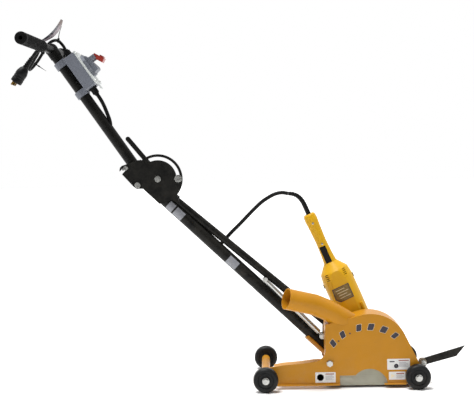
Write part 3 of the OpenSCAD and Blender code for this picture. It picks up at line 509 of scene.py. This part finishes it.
mains, mains_line = lead("mains_lead_rubber", mains_route, MAINS_D, "upper_handle")
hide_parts("mains_lead")
box_lead, box_line = lead("box_lead_rubber", box_route, LEAD_D, "upper_handle")
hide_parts("box_lead")
grinder_lead, grinder_line = lead("grinder_lead_rubber", grinder_route, LEAD_D)
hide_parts("grinder_lead")
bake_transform(grinder_lead)

# ---- grips, turned with a ribbed sleeve between a round end and a collar ----
RIB_STEPS, RIB_STEP, RIB_TOP = 86, 2.05, 1.3
ribs = [(14.3 if k % 2 else 14.95, 13 + k * RIB_STEP + d) for k in range(RIB_STEPS) for d in (0, RIB_TOP)]
grip_profile = [(4.5, 1.5), (5, 0.4), (12.5, 0.2), (14.4, 1.4), (15, 3.5), (15, 9.5), (14.2, 11), *ribs,
                (14.2, 190), (15, 192), (15, 198.5), (14, 200), (11.1, 200), (11.1, 3), (4.5, 3)]
for side, name in ((-1, "near"), (1, "far")):
    end = at(BAR_X, side * HALF_BAR, BAR_Z)
    grip_mesh = lathe_mesh("grip_" + name, grip_profile, end, (0, -side, 0), 56)
    grip = piece("grip_" + name, grip_mesh, "grip_rubber", "upper_handle")
    by_angle(grip, 40)
    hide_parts("grips")

# ---- curled card tag, bowed a little more along its far edge ----
TAG_FOOT, TAG_TOP, TAG_Y, TAG_HALF, TAG_THICK = Vector((-571, 910)), Vector((-510, 966)), -16, 21.6, 0.5
TAG_ROWS, TAG_COLS = 24, 10
TAG_BOW, TAG_NEAR_LESS = 11, 2


def tag_card():
    """The card's mesh, with u across it and v along it in its UV map."""
    along, columns = TAG_TOP - TAG_FOOT, TAG_COLS + 1
    out = Vector((along.y, -along.x)).normalized()
    points, faces, uvs = [], [], []
    for thick in (0, TAG_THICK):
        for i in range(TAG_ROWS + 1):
            for j in range(columns):
                t, u = i / TAG_ROWS, j / TAG_COLS
                bow = (TAG_BOW - TAG_NEAR_LESS * u) * 4 * t * (1 - t)
                width = 0.25 + 0.75 * sin(pi * (0.04 + t * 0.93)) ** 0.5
                q = TAG_FOOT + along * t + out * (bow + thick)
                points.append(at(q.x, TAG_Y + TAG_HALF * (1 - 2 * u) * width, q.y))
                uvs.append((u, t))
    stride, last = (TAG_ROWS + 1) * columns, TAG_ROWS * columns
    for i in range(TAG_ROWS):
        for a in range(i * columns, i * columns + TAG_COLS):
            quad = (a, a + 1, a + columns + 1, a + columns)
            faces += [quad, tuple(v + stride for v in quad[::-1])]
    rim = [*range(columns), *range(columns + TAG_COLS, last + columns, columns)]
    rim += [*range(last + TAG_COLS - 1, last - 1, -1), *range(last - columns, 0, -columns)]
    faces += [(a, b, b + stride, a + stride)[::-1] for a, b in zip(rim, rim[1:] + rim[:1])]
    mesh = mesh_of("tag_card", points, faces)
    fix_normals(mesh)
    layer = mesh.uv_layers.new(name="card")
    for loop in mesh.loops:
        layer.data[loop.index].uv = uvs[loop.vertex_index]
    return mesh


tag = by_angle(piece("tag_card", tag_card(), "paper", "upper_handle"))
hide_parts("hang_tag")

# ---- looks for the CAD nodes, with softened edges ----
SOFT_WIDTH = {"pale_plastic": 0.0012, "grey_plastic": 0.0012, "red_plastic": 0.002, "yellow_plastic": 0.0012,
              "yellow_paint": 0.0007, "black_paint": 0.0006, "black_wheel": 0.0006}
LEAST_WIDTH, SOFT_ANGLE, WELD_REACH = 0.0004, 38, 0.00001
PLAIN = {"bevel_wheel", "bevel_pinion", "armature", "stator", "ball_bearings", "switch_module"}
for name, o in NODES.items():
    slot = SLOT_OF[name]
    o.data.materials.clear()
    o.data.materials.append(LOOKS[slot])
    o.data.polygons.foreach_set("material_index", [0] * len(o.data.polygons))
    if name in PLAIN or o.hide_render:
        continue
    if "custom_normal" in o.data.attributes:
        o.data.attributes.remove(o.data.attributes["custom_normal"])
    weld = o.modifiers.new("weld", "WELD")
    weld.merge_threshold = WELD_REACH
    bevel = o.modifiers.new("bevel", "BEVEL")
    bevel.width = SOFT_WIDTH.get(slot, LEAST_WIDTH)
    bevel.segments = 2
    bevel.limit_method = "ANGLE"
    bevel.angle_limit = radians(SOFT_ANGLE)
    bevel.harden_normals = True
    weighted = o.modifiers.new("weighted", "WEIGHTED_NORMAL")
    weighted.keep_sharp = False

# ---- stickers and marks, all plain ----
GAP = 0.05
BACKING, INK = 0.15, 0.07
INKS = ["sticker", "ink_dark", "ink_red", "ink_grey", "ink_pale"]
PAPER, DARK, RED, GREY, PALE = range(5)


def plate_place(x, y, z):
    """A point y mm behind the front of the side plate's stickers."""
    return at(x, NEAR_Y - GAP + y, z)


def label(name, x0, z0, w, h, marks):
    """A rounded label on the side plate. marks is (outline, ink) for each mark on it."""
    parts = [(rounded(x0, z0, x0 + w, z0 + h, 1.5), 0, BACKING, PAPER)]
    parts += [(outline, BACKING, INK, kind) for outline, kind in marks]
    layers(name, parts, plate_place, INKS, "base")


def text_bars(x0, z1, w, count, step=2.6, height=1.1):
    """Plain grey bars where small print would be, every third one shorter."""
    return [(rounded(x0, z1 - k * step - height, x0 + w * (1 if k % 3 else 0.8), z1 - k * step, 0.4, 2), GREY)
            for k in range(count)]


label("label_rear", 127, 15.5, 52, 27,
      [(disc(140, 29, 9), DARK), (disc(140, 29, 7.8), PAPER), (rounded(153, 36.5, 175, 39, 0.6, 2), RED),
       *text_bars(153, 33.5, 22, 5)])
label("label_front", 311, 46.5, 58, 28,
      [(disc(334, 56, 5.8), DARK), (disc(334, 56, 2.2), PAPER), (rounded(317, 66, 330, 69, 1, 2), DARK),
       (rounded(340, 69, 366, 71.5, 0.6, 2), RED), *text_bars(341, 66, 23, 5)])
label("label_front_low", 315, 20.5, 42, 20.5,
      [(disc(324, 30.5, 6.5, 3), PALE), (rounded(334, 35, 354, 37.5, 0.6, 2), RED),
       *text_bars(334, 33, 19, 4)])

# a row of plain slanted blocks on an arc, dark on a pale edge, with two dots between them
ARC_C, ARC_R = (262, 44), 106
BLOCK_H, BLOCK_LEAN, BLOCK_EDGE, BLOCK_THICK = 17, 0.22, 0.6, 0.12


def on_arc(x, z, a):
    """A point x mm along and z mm out from the arc, from the place at a degrees, with the blocks' lean."""
    c, s = polar(a)
    along = x + z * BLOCK_LEAN
    return ARC_C[0] + (ARC_R + z) * c + along * s, ARC_C[1] + (ARC_R + z) * s - along * c


blocks = []
for a, w in ((141, 13), (124.5, 13), (102, 13), (86.5, 15), (69.5, 16), (53.5, 12)):
    for grow, start, kind in ((BLOCK_EDGE, 0, PALE), (0, BLOCK_THICK, DARK)):
        outline = [on_arc(x, z, a) for x, z in
                   rounded(-w / 2 - grow, -grow, w / 2 + grow, BLOCK_H + grow, 2.5)]
        blocks.append((outline, start, BLOCK_THICK, kind))
for a in (133, 114.5):
    c, s = polar(a)
    dot = disc(ARC_C[0] + (ARC_R + 2) * c, ARC_C[1] + (ARC_R + 2) * s, 2.2, 16)
    blocks.append((dot, 0, 2 * BLOCK_THICK, DARK))
layers("arc_blocks", blocks, plate_place, INKS, "base")

PATCH_FROM, PATCH_TO, PATCH_STEPS = 52, 146, 12


def tube_patch(name, s0, s1, bars):
    """A thin sticker wrapped round the near side of the lower tube, from s0 to s1 along it, with plain bars.
    Degrees round the tube are 0 at its upper side and 90 at its near side."""
    points, faces, kinds = [], [], []

    def sheet(b0, b1, c0, c1, r0, r1, kind):
        n, m, start = PATCH_STEPS, PATCH_STEPS + 1, len(points)
        for r in (r0, r1):
            for s in (b0, b1):
                for k in range(m):
                    c, q = polar(c0 + (c1 - c0) * k / n)
                    points.append(on_lower(s, r * c, -r * q))
        quads = []
        for k in range(n):
            quads += [(k, k + 1, m + k + 1, m + k), (2 * m + k, 3 * m + k, 3 * m + k + 1, 2 * m + k + 1),
                      (k, 2 * m + k, 2 * m + k + 1, k + 1), (m + k, m + k + 1, 3 * m + k + 1, 3 * m + k)]
        quads += [(0, m, 3 * m, 2 * m), (n, 2 * m + n, 3 * m + n, m + n)]
        faces.extend(tuple(start + v for v in q) for q in quads)
        kinds.extend([kind] * len(quads))

    inside = LOWER_R + GAP
    outside = inside + BACKING
    sheet(s0, s1, PATCH_FROM, PATCH_TO, inside, outside, 0)
    for k in range(bars):
        s = s0 + (s1 - s0) * (k + 0.8) / (bars + 0.8)
        sheet(s, s + 0.9, PATCH_FROM + 14, PATCH_TO - (14 if k % 2 else 30), outside, outside + INK, 1)
    m = mesh_of(name, points, faces, kinds)
    fix_normals(m)
    return by_angle(piece(name, m, ["tube_sticker", "ink_grey"], "base"))


for name, s0, s1, bars in (("tube_label_1", -291, -272, 4), ("tube_label_2", -267, -239, 6),
                           ("tube_label_3", -78, -46, 7)):
    tube_patch(name, s0, s1, bars)

# the motor's plain plate: a dark edge, a metal face and pale bars across it
PLATE_MID, PLATE_EDGE, PLATE_BARS, BAR_H = Vector((207, 233)), 0.09, 4, 1.1
plate_out = [Vector(p) for p in ((178.5, 241), (221.5, 260.5), (236.5, 224.5), (202, 208.5), (188, 214))]
face = [p.lerp(PLATE_MID, PLATE_EDGE) for p in plate_out]


def motor_place(x, y, z):
    """A point y mm behind the front of the motor's plate."""
    return at(x, MOTOR_Y - MOTOR_R - GAP + y, z)


parts = [(plate_out, 0, 0.35, 1), (face, 0.35, 0.12, 0)]
down = (face[3] - face[0]).normalized() * BAR_H
for k in range(PLATE_BARS):
    share = 0.16 + 0.2 * k
    a, b = face[0].lerp(face[3], share), face[1].lerp(face[2], share)
    a, b = a.lerp(b, 0.1), a.lerp(b, 0.9 if k % 2 else 0.7)
    parts.append(([a, b, b + down, a + down], 0.47, 0.06, 2))
layers("motor_plate", parts, motor_place, ["nameplate", "ink_dark", "ink_pale"], "head")


# ---- small hardware ----
def pan_head(name, centre, out, r, h, body):
    """A screw's round head, r mm in radius and h mm high, with a round dimple for its recess."""
    profile = [(0, 0.25 * h), (0.35 * r, 0.25 * h), (0.38 * r, 0.9 * h), (0.7 * r, 0.85 * h),
               (0.95 * r, 0.45 * h), (r, 0), (0, -0.2)]
    mesh = lathe_mesh(name, profile, centre, out, 20)
    by_angle(piece(name, mesh, "zinc_steel", body), 40)


BOX_S, BOX_TOP, COVER_SCREW_Y = 286, 52, 29
up_tube, cover_out = on_upper(1) - on_upper(0), on_upper(0, 1) - on_upper(0, 0)
for i, (s, side) in enumerate(((6, -1), (6, 1), (92, -1), (92, 1))):
    pan_head(f"cover_screw_{i}", on_upper(BOX_S + s, BOX_TOP, side * COVER_SCREW_Y), cover_out, 3.2, 2,
             "upper_handle")
for i, (z, out) in enumerate(((292, 15.1), (352, 16.4))):
    pan_head(f"handle_screw_{i}", on_motor(z, 0, -out), (0, -1, 0), 3.0, 1.2, "head")

RIPPLE, RIPPLES_PER_MM = 0.14, 1.4


def bead(name, line, radius, slot="yellow_paint", body="base", closed=True):
    """A weld bead: a rippled round of radius mm along line."""
    def ripple(s):
        return radius / 1000 * (1 + RIPPLE * sin(s * length_of(line) * 1000 * RIPPLES_PER_MM))
    mesh = tube_mesh(name, line, ripple, 10, closed)
    fix_normals(mesh)
    piece(name, mesh, slot, body)


def circle_line(centre, axis, r, n=48):
    """A circle of r mm round axis, as a line of points."""
    axis, u, w = across(axis)
    return ring(centre, r / 1000, u, w, n)


BOSS_Y, BOSS_FAR_Y, BOSS_R = -89.4, -24.4, 11.3
for name, x, y in (("rear_boss_weld", REAR_AXLE_X, BOSS_Y), ("front_boss_weld", FRONT_AXLE_X, BOSS_Y),
                   ("front_boss_weld_far", FRONT_AXLE_X, BOSS_FAR_Y)):
    bead(name, circle_line(at(x, y, AXLE_Z), (0, 1, 0), BOSS_R), 1.3)
for side, name in ((-1, "cradle_weld_near"), (1, "cradle_weld_far")):
    bead(name, [on_lower(s, -8.4, side * 15.6) for s in range(218, 284, 3)], 1.2, closed=False)
bead("cap_weld", circle_line(on_upper(UPPER_END - 22), up_tube, 15.4), 1.2, "black_paint", "upper_handle")

# a rounded lip round the dust port's mouth
mouth, port_way = at(56, -119, 239), Vector((72, 27, -21.5)).normalized()
bead("port_mouth_wear", circle_line(mouth + port_way * 0.0009, port_way, 26.2), 1.0)

BAND, TAIL, TAIL_STEPS, BAND_SIDES = 0.9, 0.9, 8, 28


def tie(name, centre, axis, r, tail, width=2.4):
    """A cable tie round a lead of radius r mm: a flat band, its square head and its cut tail. tail is the
    direction of the head, and how far the tail reaches that way and bends sideways, in mm."""
    toward, reach, bend = tail
    axis, u = Vector(axis).normalized(), Vector(toward).normalized()
    u = (u - axis * u.dot(axis)).normalized()
    w = axis.cross(u)
    b = bmesh.new()

    def joined(one, other):
        for j in range(4):
            b.faces.new((one[j], other[j], other[(j + 1) % 4], one[(j + 1) % 4]))

    section = ((r, -width / 2), (r + BAND, -width / 2), (r + BAND, width / 2), (r, width / 2))
    rings = []
    for k in range(BAND_SIDES):
        out = cos(2 * pi * k / BAND_SIDES) * u + sin(2 * pi * k / BAND_SIDES) * w
        rings.append([b.verts.new(centre + (q * out + h * axis) / 1000) for q, h in section])
    for k in range(BAND_SIDES):
        joined(rings[k], rings[(k + 1) % BAND_SIDES])

    turn = Matrix((u, w, axis)).transposed()
    for v in bmesh.ops.create_cube(b, size=1)["verts"]:
        local = Vector((v.co.x * 3.4 + r + 1.6, v.co.y * 4.4, v.co.z * (width + 1.6)))
        v.co = centre + (turn @ local) / 1000

    rows = []
    for k in range(TAIL_STEPS + 1):
        f = k / TAIL_STEPS
        p = centre + (u * (r + 1)) / 1000 + (u * reach * f + w * bend * f * f) / 1000
        e, g = width / 2 * (1 - 0.75 * f), TAIL / 2
        corners = ((-e, -g), (e, -g), (e, g), (-e, g))
        rows.append([b.verts.new(p + (axis * x + w * y) / 1000) for x, y in corners])
    b.faces.new(rows[0])
    for one, other in zip(rows, rows[1:]):
        joined(one, other)
    b.faces.new(rows[-1])
    bmesh.ops.recalc_face_normals(b, faces=b.faces)
    mesh = bpy.data.meshes.new(name)
    b.to_mesh(mesh)
    b.free()
    by_angle(piece(name, mesh, "black_plastic", "upper_handle"))


tie("tie_bundle", at(-589.5, -9, 857), (0.586, 0.1, 0.811), 15, ((0.6, -0.2, -0.75), 24, 2))
tie("tie_fold", at(-571.5, 18.5, 885), (-0.55, -0.1, -0.83), 4.2, ((-0.7, 0, 0.6), 26, -3))
tie("tie_top", at(-527, 10, 914), (-0.9, 0.35, 0.1), 4.2, ((0.5, -0.2, 0.4), 34, 12))
tie("tie_knuckle", on_upper(44), up_tube, 14.9, ((-0.9, -0.2, 0.3), 14, 2), 3)

# ---- floor, light and air ----
FLOOR_SIZE, FLOOR_AT = 14, (0, 3, 0)
SUN_POWER, SUN_SPREAD, SUN_WAY = 3.0, 24, (0.22, 0.10, -1)
bpy.ops.mesh.primitive_plane_add(size=FLOOR_SIZE, location=FLOOR_AT)
floor = bpy.context.object
floor.name = "floor"
white = look("floor_white", (0.93, 0.93, 0.93), 0.9, vary=0.01, big=2, fine=60, bump=0.01, specular=0.1)
floor.data.materials.append(white)

# a white studio behind and above, darker on the side of -Y, where the photograph was taken from; the backdrop
# itself is white all round
world = bpy.data.worlds.new("studio")
world.use_nodes = True
sky = world.node_tree
way = add(sky, "ShaderNodeSeparateXYZ", Vector=(add(sky, "ShaderNodeTexCoord"), 0))
back = add(sky, "ShaderNodeMath", operation="MULTIPLY", i0=(way, 1), i1=0.8)
lift = add(sky, "ShaderNodeMath", operation="MULTIPLY_ADD", i0=(way, 2), i1=0.6, i2=(back, 0))
glow = ranged(sky, (lift, 0), -0.5, 0.6, 0.10, 1.0)
seen = add(sky, "ShaderNodeLightPath")
level = add(sky, "ShaderNodeMath", operation="MAXIMUM", i0=glow, i1=(seen, 0))
feed(sky, sky.nodes["Background"].inputs["Color"], (1, 1, 1, 1))
feed(sky, sky.nodes["Background"].inputs["Strength"], (level, 0))
scene.world = world
scene.view_settings.view_transform = "Standard"

sun = bpy.data.lights.new("sun", "SUN")
sun.energy, sun.angle = SUN_POWER, radians(SUN_SPREAD)
sun_lamp = bpy.data.objects.new("sun", sun)
scene.collection.objects.link(sun_lamp)
sun_lamp.rotation_euler = Vector(SUN_WAY).to_track_quat("-Z", "Y").to_euler()
